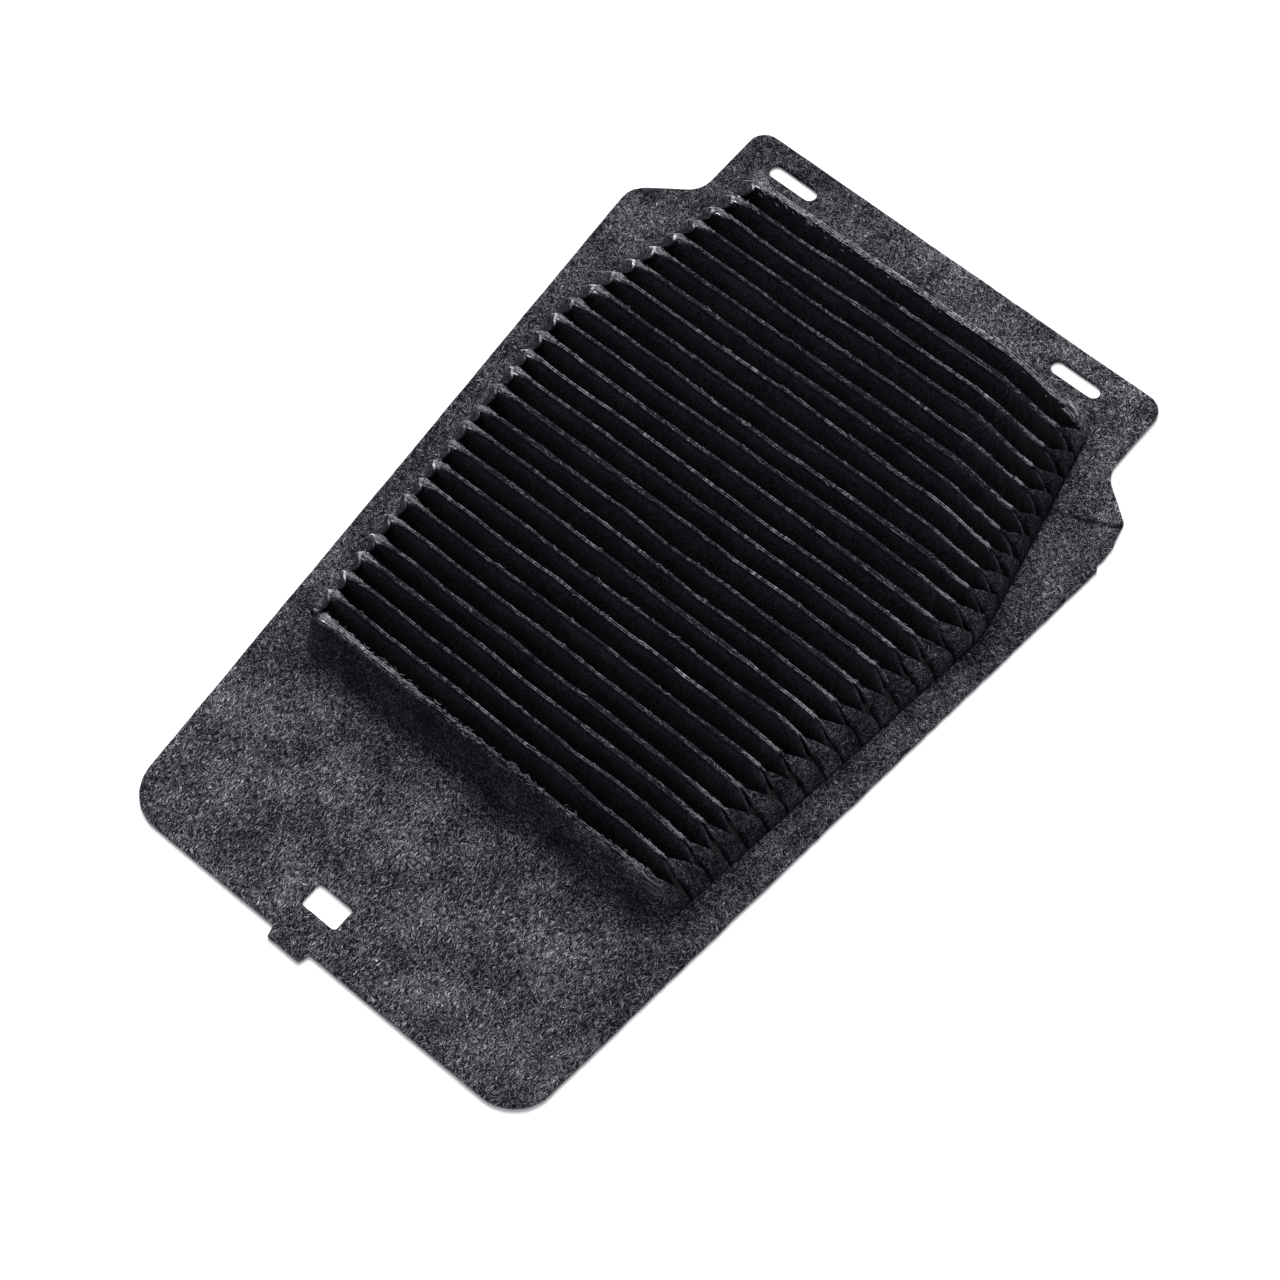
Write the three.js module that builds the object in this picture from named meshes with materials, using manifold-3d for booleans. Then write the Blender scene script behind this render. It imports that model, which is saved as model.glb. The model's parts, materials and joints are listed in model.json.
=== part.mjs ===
// Flat panel air filter: a felt flange with a pleated non-woven pack bonded in its window. The felt
// turns up out of the flange at both ends of the window and lies against the end pleats.
// Millimetres, +Z up. The origin is the middle of the footprint, on the underside of the flange.
// -Y is the narrow end with the locating tab, and +Y is the tongue with the two slots.
import * as THREE from "three";
import { mergeVertices } from "three/addons/utils/BufferGeometryUtils.js";
import Module from "manifold-3d";

// Driving dimensions. Lengths along the flange run from its straight narrow edge.
const FLANGE_LENGTH = 270;
const FLANGE_THICKNESS = 1.3;
const NARROW_HALF_WIDTH = 68.2;
const NARROW_CORNER_RADIUS = 13;
const SHOULDER_HALF_WIDTH = 88.4;
const SHOULDER_AT = 230.2;
const SHOULDER_RADIUS = 8;
const TONGUE_HALF_WIDTH = 72;
const TONGUE_CORNER_RADIUS = 5.5;
const NECK_AT = 242.6;
const NECK_RADIUS = 8;

const TAB = { from: -14.4, to: -1.8, reach: 3.2, draft: 0.8, radius: 1 };
const SQUARE_HOLE = { x: -7.2, at: 12.7, width: 12, height: 7.4, radius: 1 };
const SLOT = { length: 16.4, width: 4.6, endRadius: 2.29, at: 261.1, centres: [-53.3, 47.4] };

// The pack seen from above is a hexagon, widest at the bend in its two long sides.
const PACK_BEND = 181.7;
const FRONT_HALF_WIDTH = 62.2;
const BEND_HALF_WIDTH = 75.4;
const REAR_HALF_WIDTH = 60;
const PACK_HEIGHT = 18;
const SHOULDER_INSET = 10;

const PLEAT_COUNT = 27;
const FIRST_RIDGE = 68.9;
const LAST_RIDGE = 248.4;
const MEDIA_THICKNESS = 0.7;
const FOLD_RADIUS = 0.45;
const FOLD_OUTER = FOLD_RADIUS + MEDIA_THICKNESS / 2;
const FOLD_INNER = FOLD_RADIUS - MEDIA_THICKNESS / 2;
const FOOT_HEIGHT = 0.6;
const PLEAT_PITCH = (LAST_RIDGE - FIRST_RIDGE) / (PLEAT_COUNT - 1);
const FLAP_TOP = 16.6;

const BAND_THICKNESS = 1.1;
const BAND_HEIGHT = 15.5;
const SCALLOP = { height: 11.3, bottomWidth: 1.2, topWidth: 4.4, shift: 0.8 };
const BEAD_WIDTH = 0.8;
const BEAD_HEIGHT = 0.8;

// Left between pieces that touch on the real filter, and under the media's lowest folds.
const GAP = 0.3;
const WINDOW_MARGIN = BEAD_WIDTH + 2 * GAP;
const WINDOW_RADIUS = 3;
const ARC_STEPS = 6;
const FOLD_STEPS = 4;
const SIDE_STEPS = 4;
const MIDDLE = (FLANGE_LENGTH - TAB.reach) / 2;
const FRONT = packEnd({ ridge: FIRST_RIDGE, outward: -1, splay: 5.1, bend: 5 });
const REAR = packEnd({ ridge: LAST_RIDGE, outward: 1, splay: 2.2, bend: 3 });

const wasm = await Module();
wasm.setup();

function solidOf(geometry) {
  const bare = geometry.index ? geometry.clone() : geometry;
  bare.deleteAttribute("normal");
  bare.deleteAttribute("uv");
  const merged = mergeVertices(bare, 1e-4);
  return new wasm.Manifold(
    new wasm.Mesh({
      numProp: 3,
      vertProperties: merged.attributes.position.array,
      triVerts: new Uint32Array(merged.index.array),
    }),
  );
}

function geometryOf(solid) {
  const mesh = solid.getMesh();
  const geometry = new THREE.BufferGeometry();
  geometry.setAttribute("position", new THREE.BufferAttribute(mesh.vertProperties, 3));
  geometry.setIndex(new THREE.BufferAttribute(mesh.triVerts, 1));
  geometry.computeVertexNormals();
  return geometry;
}

// A closed outline through corners of [x, y, radius], each rounded to its own radius.
function roundedOutline(corners) {
  const points = [];
  corners.forEach(([x, y, radius], i) => {
    const corner = new THREE.Vector2(x, y);
    if (!radius) {
      points.push(corner);
      return;
    }
    const back = new THREE.Vector2(...corners.at(i - 1)).sub(corner).normalize();
    const onward = new THREE.Vector2(...corners[(i + 1) % corners.length]).sub(corner).normalize();
    const half = Math.acos(back.dot(onward)) / 2;
    const turn = (Math.PI - 2 * half) * Math.sign(onward.cross(back));
    const inward = back.clone().add(onward).normalize();
    const centre = corner.clone().addScaledVector(inward, radius / Math.sin(half));
    const start = corner.clone().addScaledVector(back, radius / Math.tan(half));
    for (let k = 0; k <= ARC_STEPS; k++) {
      points.push(start.clone().rotateAround(centre, (turn * k) / ARC_STEPS));
    }
  });
  return points;
}

// One end of the pack. The outermost leg splays out to its foot, and the flange's felt bends up a
// little further out and leans on it.
function packEnd({ ridge, outward, splay, bend }) {
  const foot = ridge + outward * (FOLD_OUTER + splay);
  const lean = splay / (PACK_HEIGHT - FOLD_OUTER);
  const turn = Math.atan(1 / lean);
  const outer = bend + FLANGE_THICKNESS;
  const bendStart = (GAP + outer - outer * Math.cos(turn)) / Math.sin(turn);
  return { foot, outward, lean, bend, turn, bendStart };
}

// Half the pack's width at a distance along the flange, out to the outer face of the side bands.
function packHalfWidth(along) {
  const [start, startWidth] =
    along < PACK_BEND ? [FRONT.foot, FRONT_HALF_WIDTH] : [REAR.foot, REAR_HALF_WIDTH];
  const share = (along - start) / (PACK_BEND - start);
  return startWidth + share * (BEND_HALF_WIDTH - startWidth);
}

// The pack's long sides round over towards the top, as a quarter of an ellipse. Depth is how far
// inside the outer face the point lies.
function sideInset(height, depth = 0) {
  const share = Math.min(1, Math.max(0, height / (PACK_HEIGHT - depth)));
  return SHOULDER_INSET - (SHOULDER_INSET - depth) * Math.sqrt(1 - share * share);
}

// Points of [inset, height] up the side's curve, from one height to another.
function sideCurve(from, to, depth, steps) {
  return Array.from({ length: steps + 1 }, (_, k) => {
    const height = from + ((to - from) * k) / steps;
    return [sideInset(height, depth), height];
  });
}

// Sweeps a section of [inset, height] points along one long side of the pack, round its bend.
// A station's lean carries it along the flange as the section rises, to follow a sloping end.
function sweepAlongSide(section, stations, side) {
  const outline = section.map(([inset, height]) => new THREE.Vector2(inset, height));
  if (THREE.ShapeUtils.isClockWise(outline)) outline.reverse();
  const positions = [];
  for (const { at, lean } of stations) {
    for (const { x: inset, y: height } of outline) {
      const along = at + lean * height;
      positions.push(side * (packHalfWidth(along) - inset), along - MIDDLE, height);
    }
  }
  const triangles = [];
  const count = outline.length;
  for (let s = 0; s + 1 < stations.length; s++) {
    for (let k = 0; k < count; k++) {
      const [a, b] = [s * count + k, s * count + ((k + 1) % count)];
      triangles.push([a, b, b + count], [a, b + count, a + count]);
    }
  }
  const last = (stations.length - 1) * count;
  for (const [a, b, c] of THREE.ShapeUtils.triangulateShape(outline, [])) {
    triangles.push([a, c, b], [a + last, b + last, c + last]);
  }
  const geometry = new THREE.BufferGeometry();
  geometry.setAttribute("position", new THREE.Float32BufferAttribute(positions, 3));
  geometry.setIndex(triangles.flatMap(([a, b, c]) => (side > 0 ? [a, b, c] : [a, c, b])));
  geometry.computeVertexNormals();
  return geometry;
}

// How far a leg between two neighbouring folds leans away from the vertical.
function legLean(fold, next) {
  const [run, rise] = [next.along - fold.along, Math.abs(next.height - fold.height)];
  return Math.acos((2 * FOLD_RADIUS) / Math.hypot(run, rise)) - Math.atan2(rise, run);
}

// The folded sheet's section: one long strip that runs up and down through every fold.
function pleatSection(folds) {
  const top = [];
  const bottom = [];
  const arcTo = (chain, fold, radius, from, to) => {
    // The inner face of a fold turns too tightly to need more than one step.
    const turnSteps = radius < FOLD_RADIUS ? 1 : FOLD_STEPS;
    const steps = from === to ? 0 : turnSteps;
    for (let k = 0; k <= steps; k++) {
      const angle = from + ((to - from) * k) / Math.max(steps, 1);
      const along = fold.along + radius * Math.cos(angle);
      chain.push(new THREE.Vector2(along - MIDDLE, fold.height + radius * Math.sin(angle)));
    }
  };
  folds.forEach((fold, i) => {
    const leanBefore = i > 0 ? legLean(folds[i - 1], fold) : null;
    const leanAfter = i + 1 < folds.length ? legLean(fold, folds[i + 1]) : null;
    const before = fold.ridge ? Math.PI - leanBefore : Math.PI + leanBefore;
    const after = fold.ridge ? leanAfter : 2 * Math.PI - leanAfter;
    const from = leanBefore === null ? after : before;
    const to = leanAfter === null ? before : after;
    const outward = fold.ridge ? MEDIA_THICKNESS / 2 : -MEDIA_THICKNESS / 2;
    arcTo(top, fold, FOLD_RADIUS + outward, from, to);
    arcTo(bottom, fold, FOLD_RADIUS - outward, from, to);
  });
  return new THREE.Shape([...top, ...bottom.reverse()]);
}

// Felt that bends up out of the flange and runs up the outermost leg at one end of the pack.
function makeFlap({ foot, outward, lean, bend, turn, bendStart }) {
  const centreHeight = bend + FLANGE_THICKNESS;
  const face = (radius) => {
    const points = [[bendStart + FLANGE_THICKNESS, centreHeight - radius]];
    for (let k = 0; k <= ARC_STEPS; k++) {
      const angle = (turn * k) / ARC_STEPS;
      const out = bendStart - radius * Math.sin(angle);
      points.push([out, centreHeight - radius * Math.cos(angle)]);
    }
    const [out, height] = points.at(-1);
    points.push([out - (FLAP_TOP - height) * lean, FLAP_TOP]);
    return points;
  };
  const outline = [...face(centreHeight), ...face(bend).reverse()];
  const shape = new THREE.Shape(
    outline.map(([out, height]) => new THREE.Vector2(foot + outward * out - MIDDLE, height)),
  );
  return trimSides(solidOf(pullAcross(shape)), sideCurve(0, PACK_HEIGHT, 0, 2 * SIDE_STEPS));
}

function makeFlange() {
  const side = (sign) => [
    [sign * TONGUE_HALF_WIDTH, FLANGE_LENGTH, TONGUE_CORNER_RADIUS],
    [sign * TONGUE_HALF_WIDTH, NECK_AT, NECK_RADIUS],
    [sign * SHOULDER_HALF_WIDTH, SHOULDER_AT, SHOULDER_RADIUS],
    [sign * NARROW_HALF_WIDTH, 0, NARROW_CORNER_RADIUS],
  ];
  const tab = [
    [TAB.from, 0, 0],
    [TAB.from + TAB.draft, -TAB.reach, TAB.radius],
    [TAB.to - TAB.draft, -TAB.reach, TAB.radius],
    [TAB.to, 0, 0],
  ];
  const centred = (corners) => roundedOutline(corners.map(([x, y, r]) => [x, y - MIDDLE, r]));
  const shape = new THREE.Shape(centred([...side(-1), ...tab, ...side(1).reverse()]));

  const windowSide = (sign) =>
    [FRONT.foot - FRONT.bendStart, PACK_BEND, REAR.foot + REAR.bendStart].map((along) => [
      sign * (packHalfWidth(along) + WINDOW_MARGIN),
      along,
      WINDOW_RADIUS,
    ]);
  const rectangle = (x, at, width, height, radius) => [
    [x - width / 2, at - height / 2, radius],
    [x + width / 2, at - height / 2, radius],
    [x + width / 2, at + height / 2, radius],
    [x - width / 2, at + height / 2, radius],
  ];
  const { x, at, width, height, radius } = SQUARE_HOLE;
  const cuts = [
    [...windowSide(1), ...windowSide(-1).reverse()],
    rectangle(x, at, width, height, radius),
    ...SLOT.centres.map((centre) =>
      rectangle(centre, SLOT.at, SLOT.length, SLOT.width, SLOT.endRadius),
    ),
  ];
  shape.holes = cuts.map((corners) => new THREE.Path(centred(corners)));
  const plate = new THREE.ExtrudeGeometry(shape, { depth: FLANGE_THICKNESS, bevelEnabled: false });
  return geometryOf(solidOf(plate).add(makeFlap(FRONT)).add(makeFlap(REAR)));
}

function makeMedia() {
  const highest = PACK_HEIGHT - FOLD_OUTER;
  const lowest = FOLD_OUTER + GAP;
  const endFold = ({ foot, outward, lean }) => {
    const along = foot - outward * (lean * FOOT_HEIGHT - FOLD_INNER);
    return { along, height: FOOT_HEIGHT, ridge: false };
  };
  const folds = [endFold(FRONT)];
  for (let i = 0; i < PLEAT_COUNT; i++) {
    const ridge = FIRST_RIDGE + i * PLEAT_PITCH;
    folds.push({ along: ridge, height: highest, ridge: true });
    if (i + 1 < PLEAT_COUNT) {
      folds.push({ along: ridge + PLEAT_PITCH / 2, height: lowest, ridge: false });
    }
  }
  folds.push(endFold(REAR));

  // The sheet ends inside the side bands, and over their top edges it reaches the outer curve.
  const bandTop = BAND_HEIGHT + GAP;
  const wall = [
    ...sideCurve(0, bandTop, BAND_THICKNESS + GAP, SIDE_STEPS),
    ...sideCurve(bandTop, PACK_HEIGHT, 0, SIDE_STEPS),
  ];
  return geometryOf(trimSides(solidOf(pullAcross(pleatSection(folds))), wall));
}

// Cuts away what lies outside a wall of [inset, height] points along both long sides.
function trimSides(solid, wall) {
  const beyond = -2 * SHOULDER_INSET;
  const [below, above] = [-1, PACK_HEIGHT + 1];
  const foot = [wall[0][0], below];
  const section = [foot, ...wall, [SHOULDER_INSET, above], [beyond, above], [beyond, below]];
  const ends = [FRONT.foot - SHOULDER_INSET, PACK_BEND, REAR.foot + SHOULDER_INSET];
  const stations = ends.map((at) => ({ at, lean: 0 }));
  return [-1, 1].reduce(
    (rest, side) => rest.subtract(solidOf(sweepAlongSide(section, stations, side))),
    solid,
  );
}

// Pulls a section drawn along Y and Z across the pack's whole width.
function pullAcross(shape) {
  const depth = 2 * BEND_HALF_WIDTH;
  const geometry = new THREE.ExtrudeGeometry(shape, { depth, bevelEnabled: false });
  const [x, y, z] = [0, 1, 2].map((axis) => new THREE.Vector3().setComponent(axis, 1));
  geometry.applyMatrix4(new THREE.Matrix4().makeBasis(y, z, x));
  return geometry.translate(-depth / 2, 0, 0);
}

// A comb whose teeth cut one scallop out of the band's top edge over each valley.
function scallopComb() {
  const clear = BAND_HEIGHT + GAP;
  const points = [];
  for (let i = 0; i + 1 < PLEAT_COUNT; i++) {
    const valley = FIRST_RIDGE + (i + 0.5) * PLEAT_PITCH - MIDDLE;
    const bottom = valley + SCALLOP.shift;
    points.push(
      new THREE.Vector2(valley - SCALLOP.topWidth / 2, clear),
      new THREE.Vector2(bottom - SCALLOP.bottomWidth / 2, SCALLOP.height),
      new THREE.Vector2(bottom + SCALLOP.bottomWidth / 2, SCALLOP.height),
      new THREE.Vector2(valley + SCALLOP.topWidth / 2, clear),
    );
  }
  points.push(
    new THREE.Vector2(points.at(-1).x, PACK_HEIGHT),
    new THREE.Vector2(points[0].x, PACK_HEIGHT),
  );
  return solidOf(pullAcross(new THREE.Shape(points)));
}

function makeBand(side) {
  const outer = sideCurve(0, BAND_HEIGHT, 0, SIDE_STEPS);
  const inner = sideCurve(0, BAND_HEIGHT, BAND_THICKNESS, SIDE_STEPS);
  const stations = [
    { at: FRONT.foot, lean: FRONT.lean },
    { at: PACK_BEND, lean: 0 },
    { at: REAR.foot, lean: -REAR.lean },
  ];
  const strip = solidOf(sweepAlongSide([...outer, ...inner.reverse()], stations, side));
  return geometryOf(strip.subtract(scallopComb()));
}

function makeSideBead(side) {
  const section = [
    [-GAP, 0],
    [-GAP, BEAD_HEIGHT],
    [-GAP - BEAD_WIDTH, BEAD_HEIGHT],
    [-GAP - BEAD_WIDTH, 0],
  ];
  const stations = [FRONT.foot, PACK_BEND, REAR.foot].map((at) => ({ at, lean: 0 }));
  return sweepAlongSide(section, stations, side);
}

// The beads across the two ends lie between the media's outermost legs and the turned-up felt.
function makeEndBead({ foot, outward }) {
  const length = 2 * (packHalfWidth(foot) - WINDOW_RADIUS);
  const bead = new THREE.BoxGeometry(length, BEAD_WIDTH, BEAD_HEIGHT);
  const across = foot + outward * (GAP + BEAD_WIDTH / 2) - MIDDLE;
  return bead.translate(0, across, BEAD_HEIGHT / 2);
}

const felt = new THREE.MeshStandardMaterial({ color: 0x37353a, roughness: 0.95, metalness: 0 });
const media = new THREE.MeshStandardMaterial({ color: 0x1c1b1e, roughness: 0.95, metalness: 0 });
const hotMelt = new THREE.MeshStandardMaterial({ color: 0x141414, roughness: 0.5, metalness: 0 });

const filter = new THREE.Group();
const add = (name, geometry, material) => {
  const mesh = new THREE.Mesh(geometry, material);
  mesh.name = name;
  filter.add(mesh);
};

add("flange_sheet", makeFlange(), felt);
add("pleated_media", makeMedia(), media);
add("side_band_left", makeBand(-1), felt);
add("side_band_right", makeBand(1), felt);
add("bond_bead_left", makeSideBead(-1), hotMelt);
add("bond_bead_right", makeSideBead(1), hotMelt);
add("bond_bead_front", makeEndBead(FRONT), hotMelt);
add("bond_bead_rear", makeEndBead(REAR), hotMelt);

export default filter;
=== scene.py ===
"""A pleated panel air filter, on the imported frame: felt flange, folded media, side webs, glue, fuzz.

Lengths are in millimetres until a mesh is made. X runs across the filter, Y from the tab end to the
slotted end and Z up, and the underside of the flange is at Z = 0.
"""
import itertools
import json
import math
from types import SimpleNamespace

import bpy
import numpy as np
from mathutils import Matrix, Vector
from mathutils.geometry import delaunay_2d_cdt


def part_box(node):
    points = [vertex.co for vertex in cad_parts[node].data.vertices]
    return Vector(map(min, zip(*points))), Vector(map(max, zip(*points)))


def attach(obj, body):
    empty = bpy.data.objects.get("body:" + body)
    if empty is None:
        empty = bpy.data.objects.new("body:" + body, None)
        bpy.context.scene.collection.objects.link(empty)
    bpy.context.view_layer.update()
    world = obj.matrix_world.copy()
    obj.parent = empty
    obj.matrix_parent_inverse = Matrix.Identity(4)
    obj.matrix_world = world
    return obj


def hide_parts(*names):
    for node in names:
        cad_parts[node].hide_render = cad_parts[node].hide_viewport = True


MM = 0.001
SEED = 11

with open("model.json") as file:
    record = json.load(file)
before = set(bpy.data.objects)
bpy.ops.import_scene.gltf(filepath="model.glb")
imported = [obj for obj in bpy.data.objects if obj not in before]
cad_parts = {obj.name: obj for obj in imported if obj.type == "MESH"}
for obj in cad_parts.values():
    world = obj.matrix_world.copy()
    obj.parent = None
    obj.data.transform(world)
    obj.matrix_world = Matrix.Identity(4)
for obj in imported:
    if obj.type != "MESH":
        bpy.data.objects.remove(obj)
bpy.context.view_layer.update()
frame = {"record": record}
scene = bpy.context.scene


def box(node):
    """A CAD node's lowest and highest corner."""
    low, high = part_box(node)
    return np.array(low) / MM, np.array(high) / MM


# ---- Driving dimensions, the same as the CAD's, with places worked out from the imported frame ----
FLANGE_LOW, FLANGE_HIGH = box("flange_sheet")
BAND_LOW, BAND_HIGH = box("side_band_right")
OPENINGS = {
    opening["name"]: np.array(opening["box_m"]) / MM
    for opening in frame["record"]["physics"]["openings"]
}

TAB_REACH = 3.2
NARROW_EDGE = FLANGE_LOW[1] + TAB_REACH
FAR_EDGE = FLANGE_HIGH[1]
FELT = 1.3
NARROW_HALF = 68.2
SHOULDER_HALF = 88.4
TONGUE_HALF = 72.0
SHOULDER_Y = FAR_EDGE - 39.8
NECK_Y = FAR_EDGE - 27.4

PACK_TOP = box("pleated_media")[1][2]
BEND_Y = NARROW_EDGE + 181.7
BEND_HALF = BAND_HIGH[0]
SIDE_INSET = 10.0
LEFT_INSETS = (4.0, 7.5)
CORNER_RADIUS = 6.3
WINDOW_GAPS = {-1: 0.25, 1: 0.4}

PLEATS = 27
FIRST_RIDGE = NARROW_EDGE + 68.0
PITCH = 179.2 / (PLEATS - 1)
MEDIA = 0.7
WEB = 1.1
CLEARANCE = 0.3


# ---- Small numeric tools ----
LATTICE_SIZE = 64
LATTICE = np.random.default_rng(SEED).uniform(-1, 1, (LATTICE_SIZE,) * 3)


def stacked(*values):
    """Values side by side in one array, as coordinates."""
    return np.stack(np.broadcast_arrays(*values), -1)


def noise(x, y, z=0.0, size=1.0):
    """Smooth random values from -1 to 1, with a feature size in millimetres."""
    place = stacked(x, y, z) / size
    cell = np.floor(place).astype(int)
    inner = place - cell
    inner = inner * inner * (3 - 2 * inner)
    total = 0
    for corner in itertools.product((0, 1), repeat=3):
        weight = np.prod(np.where(corner, inner, 1 - inner), -1)
        total = total + weight * LATTICE[tuple(np.moveaxis((cell + corner) % LATTICE_SIZE, -1, 0))]
    return total


def smooth(value, low=0.0, high=1.0):
    """A smooth step from 0 at low to 1 at high."""
    share = np.clip((value - low) / (high - low), 0, 1)
    return share * share * (3 - 2 * share)


def mix(a, b, share):
    return a + (b - a) * share


def unit(v):
    return v / np.maximum(np.linalg.norm(v, axis=-1, keepdims=True), 1e-9)


def to_the_right(directions):
    """Unit vectors to the right of directions in the plan."""
    return unit(directions)[:, ::-1] * (1, -1)


def spaced(points, step, closed=True):
    """The same line with extra points, so that none are further apart than step."""
    points = np.asarray(points, float)
    ends = np.roll(points, -1, 0) if closed else points[1:]
    out = []
    for a, b in zip(points, ends):
        length = np.linalg.norm(b - a)
        if length < 1e-6:
            continue
        count = math.ceil(length / step)
        out.extend(a + (b - a) * k / count for k in range(count))
    if not closed:
        out.append(points[-1])
    return np.array(out)


def run_along(grid):
    """The distance down each column of a grid of points."""
    return np.cumsum(np.linalg.norm(np.diff(grid, axis=0, prepend=grid[:1]), axis=-1), 0)


def from_segment(points, a, b):
    """How far each point is from the segment between a and b."""
    span = b - a
    share = np.clip((points - a) @ span / max(span @ span, 1e-9), 0, 1)
    return np.hypot(*(points - a - share[:, None] * span).T)


def rounded(corners, step=1.2):
    """A closed outline through (x, y, radius) corners, as points at most a step apart."""
    points = []
    for i, (x, y, radius) in enumerate(corners):
        corner = np.array([x, y])
        back = unit(np.array(corners[i - 1][:2]) - corner)
        onward = unit(np.array(corners[(i + 1) % len(corners)][:2]) - corner)
        if not radius:
            points.append(corner)
            continue
        half = math.acos(np.clip(back @ onward, -1, 1)) / 2
        centre = corner + unit(back + onward) * radius / math.sin(half)
        arm = corner + back * radius / math.tan(half) - centre
        turn = (math.pi - 2 * half) * np.sign(onward[0] * back[1] - onward[1] * back[0])
        steps = max(3, math.ceil(abs(turn) * radius / step))
        for k in range(steps + 1):
            c, s = math.cos(turn * k / steps), math.sin(turn * k / steps)
            points.append(centre + [c * arm[0] - s * arm[1], s * arm[0] + c * arm[1]])
    return spaced(points, step)


# ---- The pack's outer shape ----
FRONT = SimpleNamespace(foot=BAND_LOW[1], out=-1, half=62.2, lean=0.2965, fillet=5.0)
REAR = SimpleNamespace(foot=BAND_HIGH[1], out=1, half=60.0, lean=0.128, fillet=3.0)
for end in (FRONT, REAR):
    end.slope = (BEND_HALF - end.half) / abs(BEND_Y - end.foot)
    end.tilt = math.atan(end.slope)
    end.corner_x = end.half + CORNER_RADIUS * (end.slope - math.hypot(1, end.slope))
    end.corner_y = end.foot - end.out * CORNER_RADIUS
    end.side_y = end.corner_y + end.out * CORNER_RADIUS * math.sin(end.tilt)

BEND_SOFTNESS = 0.7


def pack_half(y):
    """Half the pack's width at its foot. The bend in its long sides is a little soft."""
    lines = [end.half + end.slope * np.abs(y - end.foot) for end in (FRONT, REAR)]
    return -BEND_SOFTNESS * np.log(sum(np.exp(-line / BEND_SOFTNESS) for line in lines))


def full_inset(y, side):
    """How far a long side has rounded over at the top of the pack. The left side is steeper."""
    left = mix(*LEFT_INSETS, smooth(y, NARROW_EDGE + 90, NARROW_EDGE + 230))
    return np.where(side < 0, left, SIDE_INSET)


def top_half(y, side):
    """Half the pack's width at its top."""
    return pack_half(y) - full_inset(y, side)


def side_inset(y, z, side):
    """How far a long side leans in at a height. The left side rounds over at its top, and so does the
    right one beyond its bend. Before the bend the right side leans in evenly from the flange up."""
    share = np.clip(z / PACK_TOP, 0, 1)
    rounded_over = 1 - np.sqrt(1 - share * share)
    share = np.clip((z - FELT) / (PACK_TOP - FELT), 0, 1)
    leaning = 0.8 * share**1.15 + 0.2 * share**6
    even = (side > 0) * (1 - smooth(y, BEND_Y - 30, BEND_Y + 5))
    return full_inset(y, side) * mix(rounded_over, leaning, even)


def media_half(y, z, side):
    """Half the media's width inside the webs, and inside the rounded corners of the pack."""
    inset = side_inset(y, z, side)
    half = pack_half(y) - inset
    for end in (FRONT, REAR):
        into = end.out * (y - end.corner_y)
        reach = np.maximum(CORNER_RADIUS - end.lean * z, 0.5)
        radius = np.maximum(CORNER_RADIUS - inset, 0.2)
        across = end.corner_x + radius * np.sqrt(1 - np.clip(into / reach, 0, 0.98) ** 2)
        half = np.where(into > 0, np.minimum(half, across), half)
    # It reaches further at its foot, and at its top on the left, where the web thins out.
    into_top = 0.55 * smooth(z, 13, 16.5) * (side < 0)
    into_top = into_top * (1 + 0.8 * (1 - smooth(y, FRONT.foot + 6, FRONT.foot + 9)))
    at_foot = 0.2 * (1 - smooth(z, 1.2, 2.5))
    return half - WEB - CLEARANCE + into_top + at_foot


def ridge_place(i):
    """Where ridge i would run on the even pitch."""
    return FIRST_RIDGE + i * PITCH


def ridge_y(i, x):
    """Where ridge i runs. Each is set a little off the even pitch, skewed and wavy."""
    offset = 0.5 * noise(i * 3.7, 0, 5.0) * (i > 0) * (i < PLEATS - 1)
    offset = offset - 0.7 * smooth(i, 0.5, 3)
    skew = (1.2 * (i / PLEATS - 0.35) + 0.3 * noise(i * 0.9, 9.0)) * x / 60
    wave = 0.42 * noise(x, i * 31.0, 2.0, size=17) + 0.16 * noise(x, i * 31.0, 8.0, size=4.5)
    return ridge_place(i) + offset + skew + wave


def ridge_z(i, x):
    """The height of ridge i's fold. It dips a little here and there and droops at both ends, most at
    the right end of the far ridges."""
    dip = 0.22 + 0.2 * noise(x, i * 23.0, 4.0, size=22) + 0.07 * noise(x, i * 23.0, 6.0, size=5)
    left_end, right_end = (top_half(ridge_place(i), side) for side in (-1, 1))
    far = smooth(i, 14, 21)
    right = 1.2 + 0.7 * noise(i * 2.9, 4.0) + 4.4 * far
    right = right * smooth(x, right_end - 9 - 12 * far, right_end + 2 * far)
    left = (1.0 + 0.5 * noise(i * 3.3, 8.0)) * smooth(-x, left_end - 4, left_end)
    return PACK_TOP - MEDIA / 2 - np.clip(dip, 0, 1) - (right + left)


def ridge_end(i, side, z=17.0):
    """How far from the middle ridge i ends on one side, a little below its top."""
    return media_half(ridge_place(i), z, side)


def crest_half(i, x):
    """Half the width of ridge i's fold. It is pressed flat here and there, so its line looks double,
    and widens at its left end."""
    end = ridge_end(i, -1)
    flat = smooth(noise(x, i * 41.0, 3.0, size=24), 0.05, 0.7)
    return 0.04 + 0.36 * flat + (0.7 + 0.3 * noise(i * 1.7, 3.0)) * smooth(-x, end - 6, end - 0.5)


# ---- Meshes ----
def add_object(name, data):
    thing = bpy.data.objects.new(name, data)
    scene.collection.objects.link(thing)
    return thing


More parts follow.
